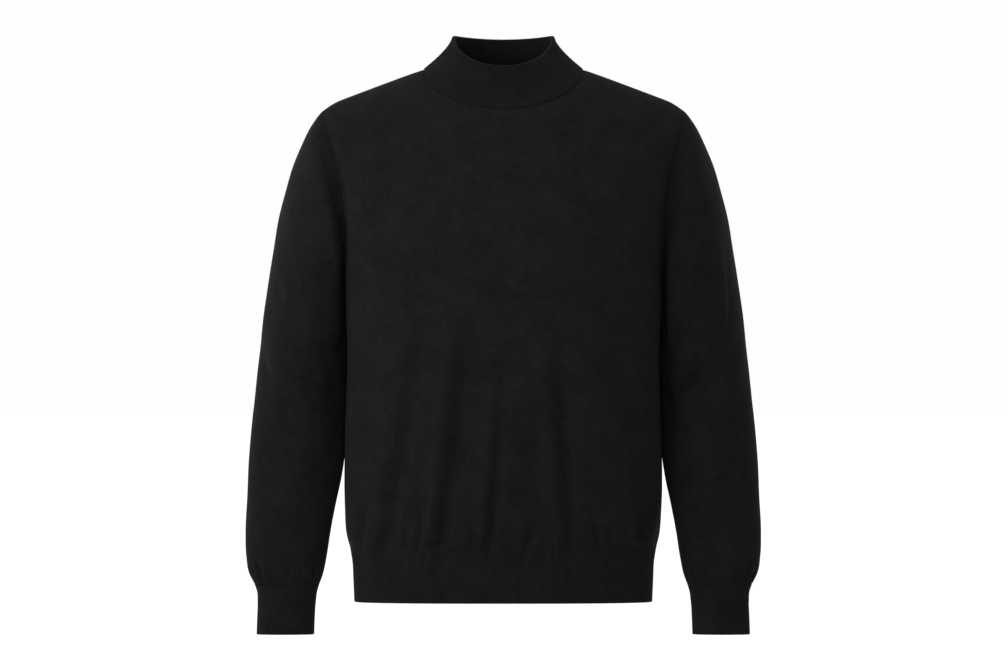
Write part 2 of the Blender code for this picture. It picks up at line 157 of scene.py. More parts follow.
# Knit
WALE = 0.00145
COURSE = 0.00110
RIB_PITCH = 0.00272
RIB_COURSE = 0.00125
RIBS_HEM = 180  # in each half of the hem
RIBS_CUFF = 72
RIBS_COLLAR = 196
RIB_HEIGHT = 0.00036
RIB_ROUNDNESS = 1.6
RIB_START = 0.004  # how far from its seam a rib is fully raised
CUFF_RIB_LEVEL = -0.69  # where the cuff's ribs are evenly spaced
SEAM_DEPTH = 0.00018
COLLAR_SEAM_DEPTH = 1.2 * SEAM_DEPTH
SEAM_REACH = 0.0022
SEAM_FREE_HEIGHT = 0.020  # around the armpit no side seam is sunk
SEAM_FREE_TURN = 0.4  # nor an armhole's seam
STITCH = 0.0019
STITCH_SIZE = np.array((0.00088, 0.00042, 0.00036))  # half its length, width and height
STITCH_SLANT = 0.22
STITCH_RAISE = 0.0002
STITCH_AIM = 0.0002  # how far to either side a stitch looks for its direction
STITCH_FACETS = 6
STITCH_RINGS = 4


def table(columns, *rows, units):
    """Named columns from rows of numbers. units: what a one stands for in each column."""
    return dict(zip(columns.split(), (np.array(rows) * units).T))


# Torso sections. at: height; the squareness of a face: 2 is an ellipse, more is boxier.
TORSO = table(
    "at half_width front back square_front square_back",
    (-679, 189, 106, 101, 2.55, 2.25),
    (-652, 190.2, 107, 102, 2.55, 2.25),
    (-626, 191.6, 108.5, 103.5, 2.55, 2.2),
    (-611, 194.2, 111.5, 106.5, 2.55, 2.2),
    (-595, 198, 115, 109, 2.6, 2.15),
    (-560, 200.8, 117.5, 110, 2.6, 2.15),
    (-450, 201, 120, 104, 2.6, 2.15),
    (-330, 201, 122.5, 107, 2.55, 2.15),
    (-230, 201, 125, 114, 2.5, 2.25),
    (-180, 201, 125, 116, 2.5, 2.3),
    (2, 201, 125, 116, 2.5, 2.4),
    units=(MM, MM, MM, MM, 1, 1),
)

# How roundly each face rolls over to the shoulder ridge. at: distance across from the middle.
ROLL_OVER = table(
    "at front back",
    (0, 1.78, 2.6),
    (50, 1.7, 2.42),
    (100, 1.58, 2.15),
    (150, 1.56, 2.04),
    (200, 1.6, 2),
    (320, 1.6, 2),
    units=(MM, 1, 1),
)

# Sleeve rings. at: fall of the outer line from the shoulder tip; outer and inner: distances across;
# inner_height: height of the inner line; depth: half the ring's front to back size; centre: its y;
# roundness: 2 is an oval, less lets the half beside the torso fall away from the front sooner.
SLEEVE = table(
    "at outer inner inner_height depth centre roundness",
    (0, 231, 201, -270, 68, 0, 2),
    (7, 236.5, 203, -270.5, 65, 0, 2),
    (20, 245, 201.9, -276, 66, 1.8, 1.9),
    (42, 256, 201.2, -285, 68, 8.5, 1.78),
    (67, 266.5, 200.8, -297, 69, 14, 1.68),
    (99, 276.5, 200.4, -312, 69, 17.5, 1.6),
    (135, 285.5, 200, -330, 68, 20, 1.57),
    (176, 293, 199.7, -352, 67, 22, 1.56),
    (223, 300, 199.5, -380, 64, 23, 1.56),
    (273, 306.5, 199.6, -412, 60, 23, 1.57),
    (331, 312.8, 200.1, -450, 54, 20, 1.62),
    (391, 318.8, 201.2, -490, 48, 14, 1.7),
    (448, 323.3, 206.2, -525, 43, 7, 1.8),
    (493, 326.1, 213.3, -558, 40, 1, 1.9),
    (533, 327.5, 219.6, -592, 37, -4, 1.96),
    (563, 326.7, 224, -621, 34, -8, 2),
    (586, 322.4, 228.8, -644, 30, -10.5, 2),
    (599, 315.5, 233.5, -657, 27, -12, 2),
    units=(MM, MM, MM, MM, MM, MM, 1),
)

# Cuff rings. at: height.
CUFF = table(
    "at outer inner depth centre roundness",
    (-720, 312.8, 239.8, 25, -16.5, 2),
    (-698, 312, 239.1, 24.7, -15, 2),
    (-677, 311.5, 237.7, 24.7, -13.5, 2),
    (-664, 312.6, 235.8, 25.5, -12.5, 2),
    (-657, 315.5, 233.5, 27, -12, 2),
    units=(MM, MM, MM, MM, MM, 1),
)

# Creases run from a foot to a head. On the torso a is the distance across and b the height. On a
# sleeve a is the turn from its outer line, in degrees, positive over the front, and b the fall.
# trough and ridge: how deep the cloth sinks on one side of the line and how far it swells on the
# other; taper: the share of the length over which the crease fades out at its foot.
SLEEVE_RADIUS = 0.060  # turns a sleeve's angles into lengths


def crease_table(*rows, unit_a=MM):
    names = "foot_a foot_b head_a head_b bow width trough ridge taper"
    return table(names, *rows, units=(unit_a, MM, unit_a, MM, MM, MM, MM, MM, 1))


CREASES = {
    "front": crease_table(
        (-86, -612, -44, -235, 4, 10, 7.2, 6.4, 0),
        (-21.5, -612, 4, -300, 0, 7, 6, 4.2, 0),
        (76.5, -612, 52, -250, 3, 10, 9.4, 5, 0),
        (-156, -612, -102, -240, 4, 10, 5.8, 3.6, 0),
        (169, -612, 121.5, -215, -4, 18, 13.5, 3.6, 0),
        (140, -420, 112, -225, 0, 14, 2, 2.4, 0.5),
        (-184, -612, -180, -540, 0, 5, 4, 1.4, 0),
        (-129, -612, -120, -565, 0, 4, 1.8, 1.4, 0),
        (-111, -612, -103, -545, 1, 4.4, 4.2, 2, 0),
        (-99, -612, -93, -570, 0, 3.6, 3.4, 1.4, 0),
        (-42, -612, -38, -560, 0, 5, 1.4, 1.4, 0),
        (25, -612, 32, -568, 0, 5.6, 6.8, 2.2, 0),
        (50, -612, 48, -570, 0, 4, 1.6, 1.2, 0),
        (60, -612, 57, -575, 0, 3.8, 3.4, 1.4, 0),
        (116, -612, 112, -550, 0, 4.6, 3.2, 1.4, 0),
        (133, -612, 129, -575, 0, 4, 1.4, 1, 0),
        (148, -612, 143, -560, 0, 4.2, 1.4, 1.2, 0),
        (-106, -420, -113, -290, 0, 15, 1.6, 2.4, 0.6),
        (28, -590, 26, -370, 0, 13, 2.8, 1.4, 0.5),
        (-30, -440, -22, -330, 0, 12, 1.2, 1.4, 0.6),
        (108, -340, 98, -210, 0, 17, 1.4, 1.8, 0.6),
        (-90, -250, -102, -150, 0, 17, 1, 1.4, 0.6),
        (-168, -220, -150, -110, 0, 12, 1.6, 1, 0.5),
    ),
    "back": crease_table(
        (92, -612, 61, -360, -4, 11, 3.4, 4.4, 0),
        (21, -612, 15, -430, 0, 8, 2.6, 2.6, 0),
        (-68, -612, -52, -390, -3, 9.5, 3.4, 3.4, 0),
        (-148, -612, -116, -400, 3, 13, 3.4, 2.8, 0),
        (150, -612, 129, -470, 0, 9.5, 2.4, 2, 0),
        (-112, -612, -108, -565, 0, 4.2, 2.2, 1.4, 0),
        (-30, -612, -28, -575, 0, 4, 1.6, 1.2, 0),
        (53, -612, 50, -560, 0, 4.4, 2.2, 1.4, 0),
        (118, -612, 115, -577, 0, 4, 1.6, 1.2, 0),
        (179, -612, 177, -565, 0, 4.6, 2, 1.4, 0),
        (133, -330, 160, -200, 6, 16, 2.6, 2.2, 0.5),
        (-131, -320, -162, -190, -6, 17, 2.8, 2.2, 0.5),
        (60, -120, -65, -112, 10, 15, 1.6, 1.4, 0.5),
    ),
    "sleeve_right": crease_table(
        (144, 15, 140, 420, 0, 15, 8.5, 5, 0),
        (137, 20, 135, 330, 0, 20, 0, 6.5, 0),
        (142, 192, 64, 252, 0, 16, 6.2, 1.6, 0),
        (66, 240, 100, 360, 4, 18, 3.4, 2.4, 0.3),
        (58, 335, 20, 268, 3, 11, 3, 2.2, 0.4),
        (60, 222, 34, 192, 0, 10, 2.6, 2, 0.5),
        (124, 250, 132, 430, 0, 20, 5, 1, 0.3),
        (150, 300, 120, 200, 0, 11, 4.4, 2.6, 0.4),
        (80, 480, 108, 400, 4, 11, 2.2, 1.8, 0.5),
        (-70, 300, -130, 240, 4, 8, 4, 3.1, 0.4),
        (-60, 350, -125, 290, 4, 8, 3.3, 2.6, 0.4),
        (-95, 150, -55, 70, 4, 11, 2.6, 2.2, 0.5),
        (30, 602, 34, 566, 0, 3.2, 2.2, 1.5, 0),
        (52, 602, 50, 560, 0, 3.4, 2.4, 1.8, 0),
        (72, 602, 72, 572, 0, 2.8, 1.5, 1.1, 0),
        (97, 602, 99, 566, 0, 3, 2, 1.3, 0),
        (118, 602, 117, 574, 0, 2.8, 1.5, 1.1, 0),
        (141, 602, 146, 560, 0, 3.4, 2.6, 1.8, 0),
        (-28, 602, -30, 568, 0, 3.2, 2, 1.3, 0),
        (-62, 602, -58, 562, 0, 3.2, 2.2, 1.5, 0),
        (-90, 602, -92, 574, 0, 2.8, 1.5, 1.1, 0),
        (-120, 602, -124, 564, 0, 3.2, 2.2, 1.5, 0),
        (-155, 602, -152, 570, 0, 3, 1.8, 1.3, 0),
        unit_a=np.radians(SLEEVE_RADIUS),
    ),
    "sleeve_left": crease_table(
        (146, 15, 140, 600, 0, 17, 10, 4.5, 0),
        (137, 20, 135, 330, 0, 20, 0, 3.5, 0),
        (140, 205, 92, 243, 0, 20, 5.2, 1, 0.3),
        (138, 300, 93, 262, 3, 17, 8.5, 3, 0.2),
        (92, 325, 60, 278, 3, 10, 4.6, 3, 0.4),
        (125, 310, 100, 240, 0, 20, 6, 2, 0.5),
        (100, 76, 50, 64, 0, 18, 6.2, 0.6, 0.3),
        (125, 14, 60, 14, 0, 13, 10.5, 0, 0.15),
        (116, 200, 136, 480, 0, 36, 10.5, 0, 0.45),
        (122, 345, 98, 265, 4, 13, 4.4, 2.2, 0.4),
        (54, 264, 36, 130, 0, 5, 1, 3.2, 0.2),
        (100, 500, 74, 420, 4, 11, 2, 1.5, 0.5),
        (-66, 310, -126, 250, 4, 8, 4, 3.1, 0.4),
        (-58, 362, -118, 300, 4, 8, 3.1, 2.4, 0.4),
        (-100, 140, -60, 80, 4, 11, 2.6, 2.2, 0.5),
        (26, 602, 30, 570, 0, 3.2, 2, 1.3, 0),
        (50, 602, 49, 560, 0, 3.4, 2.6, 1.8, 0),
        (69, 602, 66, 568, 0, 3, 2, 1.3, 0),
        (92, 602, 92, 574, 0, 2.8, 1.5, 1.1, 0),
        (114, 602, 118, 566, 0, 3, 1.8, 1.3, 0),
        (137, 602, 139, 562, 0, 3.4, 2.4, 1.8, 0),
        (-34, 602, -32, 566, 0, 3.2, 2.2, 1.5, 0),
        (-68, 602, -70, 570, 0, 3, 1.8, 1.3, 0),
        (-101, 602, -97, 562, 0, 3.2, 2.2, 1.5, 0),
        (-128, 602, -130, 572, 0, 2.8, 1.8, 1.1, 0),
        (-158, 602, -155, 566, 0, 3.2, 2, 1.3, 0),
        unit_a=np.radians(SLEEVE_RADIUS),
    ),
}
INNER_REACH = 0.7  # turn from a sleeve's inner line within which its creases fade out
SIDE_FADE = 0.022  # how far from the sides of the torso its creases fade out
TOP_FADE = 0.030  # the same along the neckline, the shoulders and a sleeve's armhole
HEM_HOLD = 0.30  # how much of a crease is left where the rib holds the cloth
CUFF_HOLD = 0.20
HOLD_RISE = 0.012
HOLD_FALL = 0.018

# A crease across its line, in widths
TROUGH_AT = 0.7
TROUGH_REACH = 0.9
RIDGE_AT = -0.9
RIDGE_REACH = 1
HEAD_WIDENING = 0.7  # how much wider it is at its head
HEAD_FADE = 0.7  # the share of the length over which it fades out there

# Slow swells of the cloth, which no crease stands for: waves of a and b
SWELLS = table(
    "length_a length_b phase height",
    (190, 310, 0.4, 0.45),
    (-120, 230, 1.9, 0.35),
    (83, 151, 3.1, 0.28),
    (-61, 97, 5, 0.2),
    (47, -64, 2.2, 0.14),
    units=(MM, MM, 1, MM),
)
SLEEVE_SWELL = 0.8


def along(rows, column, at):
    """A column's value at a place in the table, on a smooth cubic through its rows."""
    keys, values = rows["at"], rows[column]
    slopes = np.gradient(values, keys)
    at = np.clip(at, keys[0], keys[-1])
    low = np.clip(np.searchsorted(keys, at) - 1, 0, len(keys) - 2)
    step = keys[low + 1] - keys[low]
    part = (at - keys[low]) / step
    start = values[low] + part * step * slopes[low]
    start += part**2 * (3 - 2 * part) * (values[low + 1] - values[low])
    bend = part**2 * (part - 1) * slopes[low + 1] + part**2 * (part - 2) * slopes[low]
    return start + step * bend


def unit(vectors):
    return vectors / np.linalg.norm(vectors, axis=-1, keepdims=True)


def smooth(share):
    """From 0 to 1, eased at both ends."""
    share = np.clip(share, 0, 1)
    return share**2 * (3 - 2 * share)


def near(distance, reach):
    """1 at no distance, fading out over the reach."""
    return np.exp(-((distance / reach) ** 2))


# The torso's form


def falling(across, top, start, blend):
    """A line that runs level, bends down around its start and ends in the shoulder's rounded tip."""
    run = (np.hypot(across - start, blend) + across - start) / 2
    tip = np.clip((across - TIP_START) / (TIP_ACROSS - TIP_START), 0, None)
    return top - SHOULDER_SLOPE * run - TIP_DROP * tip**2


def ridge(across):
    """Height of the shoulder's top line at a distance across from the middle."""
    return falling(across, RIDGE_TOP, SHOULDER_START, SHOULDER_BLEND)


TIP_HEIGHT = float(ridge(TIP_ACROSS))
NECK_HEIGHT = float(ridge(NECK_HALF))


def above_armpit(height):
    """0 at the armpit and below, 1 at the shoulder tip's level."""
    return np.clip((height - ARMPIT) / (TIP_HEIGHT - ARMPIT), 0, None)


def tuck(height):
    """How much narrower the torso is where the sleeves lie against it."""
    return TUCK * near(height - TUCK_LEVEL, TUCK_REACH)


def form_half_width(height):
    root = ARM_ROOT * above_armpit(height) ** ARM_ROOT_POWER
    return along(TORSO, "half_width", height) + root - tuck(height)


def form_depth(face, across, height):
    """How far a face's fullest line lies from the side seams' plane."""
    top = ridge(across)
    soft = falling(across, SOFT_TOP, SOFT_START, SOFT_BLEND)
    top = soft + (top - soft) * np.exp(-np.clip(top - height, 0, None) / SOFT_FADE)
    level = CHEST_LEVEL if face == "front" else BLADE_LEVEL
    fall = np.clip((top - height) / (top - level), 0, 1)
    power = along(ROLL_OVER, face, across)
    return along(TORSO, face, height) * (1 - (1 - fall) ** power) ** (1 / power)


def torso_face(face, angle, height):
    """A point of the torso's outer face. angle: 0 at the middle, a right angle at the side seam."""
    power = along(TORSO, f"square_{face}", height)
    reach = (np.abs(np.sin(angle)) ** power + np.abs(np.cos(angle)) ** power) ** (-1 / power)
    x = form_half_width(height) * reach * np.sin(angle)
    y = SIDE[face] * form_depth(face, np.abs(x), height) * reach * np.cos(angle)
    return np.stack([x, y, height + 0 * x], -1)


def angle_at(face, across, height):
    """The angle at which a section of the torso is this far across."""
    power = along(TORSO, f"square_{face}", height)
    part = np.clip((across / form_half_width(height)) ** power, 0, 1 - TINY)
    return np.arctan((part / (1 - part)) ** (1 / power))


def both_faces(across, height):
    """The points of the front and of the back that lie this far across."""
    return [torso_face(face, angle_at(face, across, height), height) for face in SIDE]


def edge_across(height):
    """Distance across of a panel's side edge: the side seam, then the armhole."""
    lean = np.clip((height - ARMHOLE_STRAIGHT) / (TIP_HEIGHT - ARMHOLE_STRAIGHT), 0, None)
    armpit = along(TORSO, "half_width", ARMPIT)
    armhole = armpit + (TIP_ACROSS - armpit) * lean**ARMHOLE_POWER
    return np.where(height > ARMPIT, armhole, form_half_width(height))


def neckline(turn):
    """Outer seam line of the neck. turn: 0 at the front's middle, a quarter turn at +X."""
    front = np.cos(turn) > 0
    drop = np.where(front, NECK_DROP_FRONT, NECK_DROP_BACK)
    across = NECK_HALF * np.sin(turn)
    height = NECK_HEIGHT - drop * np.abs(np.cos(turn))
    front_line, back_line = both_faces(np.abs(across), height)
    y = np.where(front, front_line[..., 1], back_line[..., 1])
    return np.stack([across, y, height], -1)


def neck_lean(turn):
    """Direction of the walls along the neckline."""
    middle = np.where(np.cos(turn) > 0, NECK_WALL_UP_FRONT, NECK_WALL_UP_BACK)
    up = middle * np.cos(turn) ** 2 + NECK_WALL_UP_SIDE * np.sin(turn) ** 2
    return unit(np.stack([NECK_WALL_OUT * np.sin(turn), -NECK_WALL_FORWARD * np.cos(turn), up], -1))


def armhole_lean(turn):
    """Direction of the walls along the armhole."""
    tip = ARMHOLE_WALL_OUT_TIP * np.cos(turn / 2) ** ARMHOLE_WALL_REACH
    pit = ARMHOLE_WALL_OUT_PIT * np.sin(turn / 2) ** ARMHOLE_WALL_REACH
    return unit(np.stack([ARMHOLE_WALL_OUT + tip + pit, -np.sin(turn), np.cos(turn)], -1))


def cuff_lean(turn):
    """Direction of the walls along the cuff's seam."""
    return unit(np.stack([np.cos(turn), -np.sin(turn), 0 * turn - CUFF_WALL_DOWN], -1))


def dip(turn):
    """How far the armhole's seam lies in."""
    return ARMHOLE_SINK * np.sin(turn) ** 2


def valley(hand, turn):
    """How the cloth is moved along the armhole's seam, as on the wearer's left side."""
    depth = VALLEY_DEPTH * np.abs(np.sin(turn)) ** VALLEY_POWER
    depth *= VALLEY_TOP + (1 - VALLEY_TOP) * np.sin(turn / 2) ** 2
    out, inwards = VALLEY_WAY[hand]
    return np.stack([depth * out, depth * inwards * np.sign(np.sin(turn)), 0 * depth], -1)


def armhole(turn):
    """Outer seam line of the +X armhole. turn: 0 at the shoulder tip, a quarter turn at the front."""
    height = ARMPIT + (TIP_HEIGHT - ARMPIT) * (1 + np.cos(turn)) / 2
    front_line, back_line = both_faces(edge_across(height), height)
    line = np.where(np.sin(turn)[:, None] > 0, front_line, back_line)
    return line - dip(turn)[:, None] * armhole_lean(turn)


# Sleeves and collar


def oval(rows, at, inner_height, outer_height, turn):
    """A ring that leans from its outer line down to its inner line."""
    outer, inner, depth, centre, roundness = (
        along(rows, column, at) for column in ("outer", "inner", "depth", "centre", "roundness")
    )
    lean = (1 + np.cos(turn)) / 2
    x = inner + (outer - inner) * lean
    z = inner_height + (outer_height - inner_height) * lean
    power = np.where(np.cos(turn) < 0, roundness, 2)
    bulge = (1 - np.abs(np.cos(turn)) ** power) ** (1 / power)
    return np.stack([x, centre - depth * np.sign(np.sin(turn)) * bulge, z], -1)


def sleeve_face(turn, at):
    """Points of the +X sleeve. turn: 0 along its outer line; at: that line's fall from the tip."""
    inner_height = along(SLEEVE, "inner_height", at)
    rings = oval(SLEEVE, at, inner_height, TIP_HEIGHT - at, turn)
    rings[..., 0] -= tuck(inner_height) * (1 - np.cos(turn)) / 2
    start = oval(SLEEVE, 0 * at, along(SLEEVE, "inner_height", 0 * at), TIP_HEIGHT, turn)
    fade = np.clip(1 - at / ARMHOLE_BLEND, 0, 1) ** 3
    return rings + fade[..., None] * (armhole(turn) - start)


def rim(turn):
    """Where the collar's outer face meets its rolled rim."""
    forward = np.cos(turn)
    front = (forward + np.hypot(forward, RIM_BEND)) / 2
    back = np.clip(-forward, 0, None)
    x = RIM_HALF * np.sin(turn)
    y = RIM_BACKWARD - RIM_DEPTH * forward
    z = RIM_SIDE_HEIGHT - RIM_DROP_FRONT * front - RIM_DROP_BACK * back**2
    return np.stack([x, y, z], -1)


def collar_face(turn, climb):
    """Points of the collar's outer face. climb: 0 at the neckline, 1 where the rim's roll starts."""
    power = FLARE_MIDDLE + (FLARE_SIDE - FLARE_MIDDLE) * np.sin(turn) ** 2
    share = (1 - climb) ** power
    low, high = neckline(turn), rim(turn)
    x, y = (high[:, i] + (low[:, i] - high[:, i]) * share for i in (0, 1))
    return np.stack([x, y, low[:, 2] + (high[:, 2] - low[:, 2]) * climb], -1)


# Grids of points


def grid_normals(grid):
    """Unit normals of a grid of points, towards the columns' direction crossed with the rows'."""
    return unit(np.cross(np.gradient(grid, axis=1), np.gradient(grid, axis=0)))


def ring_normals(rings):
    """The same for a tube whose columns close on themselves."""
    wrapped = np.concatenate([rings[:, -1:], rings, rings[:, :1]], axis=1)
    return grid_normals(wrapped)[:, 1:-1]


def lengths(grid, axis):
    """How far along the cloth each point of a grid lies from the grid's first row or column."""
    steps = np.linalg.norm(np.diff(grid, axis=axis), axis=-1)
    return np.insert(np.cumsum(steps, axis=axis), 0, 0, axis=axis)


def to_last(run, axis):
    """The distance to the last row or column, from lengths()."""
    return np.take(run, [-1], axis=axis) - run


def turned(lean, seam_lean, distance, reach=LEAN_REACH):
    """Walls that take the seam's direction close to it."""
    part = near(distance, reach)[..., None]
    return unit(lean * (1 - part) + seam_lean * part)


def with_edge_steps(start, stop, count, low=True, high=True):
    """Evenly spaced places, with closer ones added next to the ends."""
    places = np.linspace(start, stop, count)
    way = np.sign(stop - start)
    clear = EDGE_STEPS[-1] + EDGE_CLEAR
    places = places[(np.abs(places - start) > clear) & (np.abs(places - stop) > clear)]
    first = np.concatenate([[start], start + way * EDGE_STEPS]) if low else [start]
    final = np.concatenate([stop - way * EDGE_STEPS[::-1], [stop]]) if high else [stop]
    return np.concatenate([first, places, final])


def evenly(curve, places, share):
    """The places on a curve at shares of its length, and that length."""
    run = lengths(curve[None], 1)[0]
    return np.interp(share * run[-1], run, places), run[-1]


def mirrored(half, flip=(-1, 1, 1)):
    """A half grid with its mirror image put before it."""
    return np.concatenate([half[:, :0:-1] * flip, half], axis=1)


# The cloth's relief


def creases(rows, a, b):
    """How far a table of creases moves the cloth outwards at places a and b, both in metres."""
    moved = np.zeros(np.broadcast(a, b).shape)
    for foot_a, foot_b, head_a, head_b, bow, width, trough, swell, taper in zip(*rows.values()):
        length = np.hypot(head_a - foot_a, head_b - foot_b)
        way_a, way_b = (head_a - foot_a) / length, (head_b - foot_b) / length
        run = ((a - foot_a) * way_a + (b - foot_b) * way_b) / length
        inside = np.clip(run, 0, 1)
        aside = (a - foot_a) * way_b - (b - foot_b) * way_a - 4 * bow * inside * (1 - inside)
        spread = aside / (width * (1 + HEAD_WIDENING * inside))
        fade = smooth((1 - run) / HEAD_FADE)
        if taper:
            fade = fade * smooth(run / taper)
        raised = swell * near(spread - RIDGE_AT, RIDGE_REACH)
        moved += fade * (raised - trough * near(spread - TROUGH_AT, TROUGH_REACH))
    return moved


def swells(a, b):
    """The cloth's slow unevenness."""
    waves = zip(*SWELLS.values())
    return sum(
        height * np.sin(2 * np.pi * (a / length_a + b / length_b) + phase)
        for length_a, length_b, phase, height in waves
    )


def torso_relief(face, points):
    """Creases and swells of a face, held where the hem's rib is."""
    x, z = points[..., 0], points[..., 2]
    rise = HEM_HOLD + (1 - HEM_HOLD) * smooth((z - HEM_SEAM) / HOLD_RISE)
    fall = HEM_HOLD * near(z - HEM_SEAM, HOLD_FALL)
    hold = np.where(z > HEM_SEAM, rise, fall)
    return hold * (creases(CREASES[face], x, z) + swells(x, z))


def rib_relief(share, ribs, to_seam):
    """Rounded ribs with narrow furrows between them, around the middle of their height."""
    wave = 1 - (1 - np.abs(np.sin(np.pi * ribs * share))) ** RIB_ROUNDNESS
    return RIB_HEIGHT * (wave - 0.5) * smooth(to_seam / RIB_START)


def rib_uv(share, ribs, rise):
    """Lengths across and along a ribbed piece, in metres."""
    across = share * ribs * RIB_PITCH
    rise = rise + 0 * across
    return np.stack([across + 0 * rise, rise], -1)


def cloth_uv(points, middle):
    """Lengths across and along the cloth, in metres, from a column and from the first row."""
    across = lengths(points, 1)
    across = across - across[:, middle : middle + 1]
    along_column = lengths(points[:, middle : middle + 1], 0)
    rise = points[:, :, 2:] - points[:, middle : middle + 1, 2:]
    return np.stack([across, along_column + rise[..., 0]], -1)


# Meshes


def build(name, verts, faces, uvs, material):
    """A mesh object from points, faces and one pair of coordinates for each face corner."""
    data = bpy.data.meshes.new(name)
    data.from_pydata(verts, [], faces)
    layer = data.uv_layers.new(name="knit")
    layer.data.foreach_set("uv", np.asarray(uvs, np.float32).ravel())
    data.shade_smooth()
    data.materials.append(material)
    piece = bpy.data.objects.new(name, data)
    bpy.context.scene.collection.objects.link(piece)
    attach(piece, "root")
    return piece


def shell(name, skin, lining, uv, material, roll_low=(), roll_high=()):
    """A thin closed shell from two grids of points and the rolls that join them.

    The rows of the skin, the upper roll, the lining from top to bottom and the lower roll make one
    loop. uv is given for the skin's points, and the lining shares it. A tube's uv has one column
    more than its skin, where it closes.
    """
    roll_low, roll_high = (np.reshape(roll, (-1, *skin.shape[1:])) for roll in (roll_low, roll_high))
    loop = np.concatenate([skin, roll_high, lining[::-1], roll_low])
    rows, columns = loop.shape[:2]
    marks = np.concatenate(
        [uv, np.repeat(uv[-1:], len(roll_high), 0), uv[::-1], np.repeat(uv[:1], len(roll_low), 0)]
    )
    closed = uv.shape[1] > columns
    count = columns if closed else columns - 1
    row, column = (part.ravel() for part in np.mgrid[:rows, :count])
    above, beside = (row + 1) % rows, (column + 1) % columns
    corners = ((row, column), (row, beside), (above, beside), (above, column))
    faces = np.stack([i * columns + j for i, j in corners], -1).tolist()
    corners = ((row, column), (row, column + 1), (above, column + 1), (above, column))
    uvs = [np.stack([marks[corner] for corner in corners], 1).reshape(-1, 2)]
    if not closed:
        height = len(skin)
        lining_rows = height + len(roll_high) + np.arange(height)[::-1]
        high = list(range(height - 1, height + len(roll_high) + 1))
        low = list(range(rows - len(roll_low) - 1, rows)) + [0]
        strips = [[i, i + 1, lining_rows[i + 1], lining_rows[i]] for i in range(height - 1)]
        strips += [strip for strip in (high, low) if len(strip) > 2]
        for side, at in ((0, 0), (1, columns - 1)):
            for strip in strips:
                ring = [int(place) for place in (strip if side else strip[::-1])]
                faces.append([place * columns + at for place in ring])
                uvs.append(marks[ring, at])
    return build(name, loop.reshape(-1, 3), faces, np.concatenate(uvs), material)


def rolled(skin, lining, outwards):
    """Rows that round an open edge from its last skin row to its last lining row."""
    middle, half = (skin + lining) / 2, (skin - lining) / 2
    reach = np.linalg.norm(half, axis=-1, keepdims=True)
    swing = np.linspace(0, np.pi, ROLL_STEPS + 2)[1:-1, None, None]
    return middle + np.cos(swing) * half + np.sin(swing) * reach * outwards


def step_off(seam, lean):
    """How far a closed, bent seam line moves to clear its neighbour's edge."""
    forward = np.roll(seam, -1, axis=0) - np.roll(seam, 1, axis=0)
    return BENT_SEAM_GAP * unit(np.cross(lean, forward))


# The pieces

seams = {}  # seam lines of the ribbed pieces, with the outward directions along them


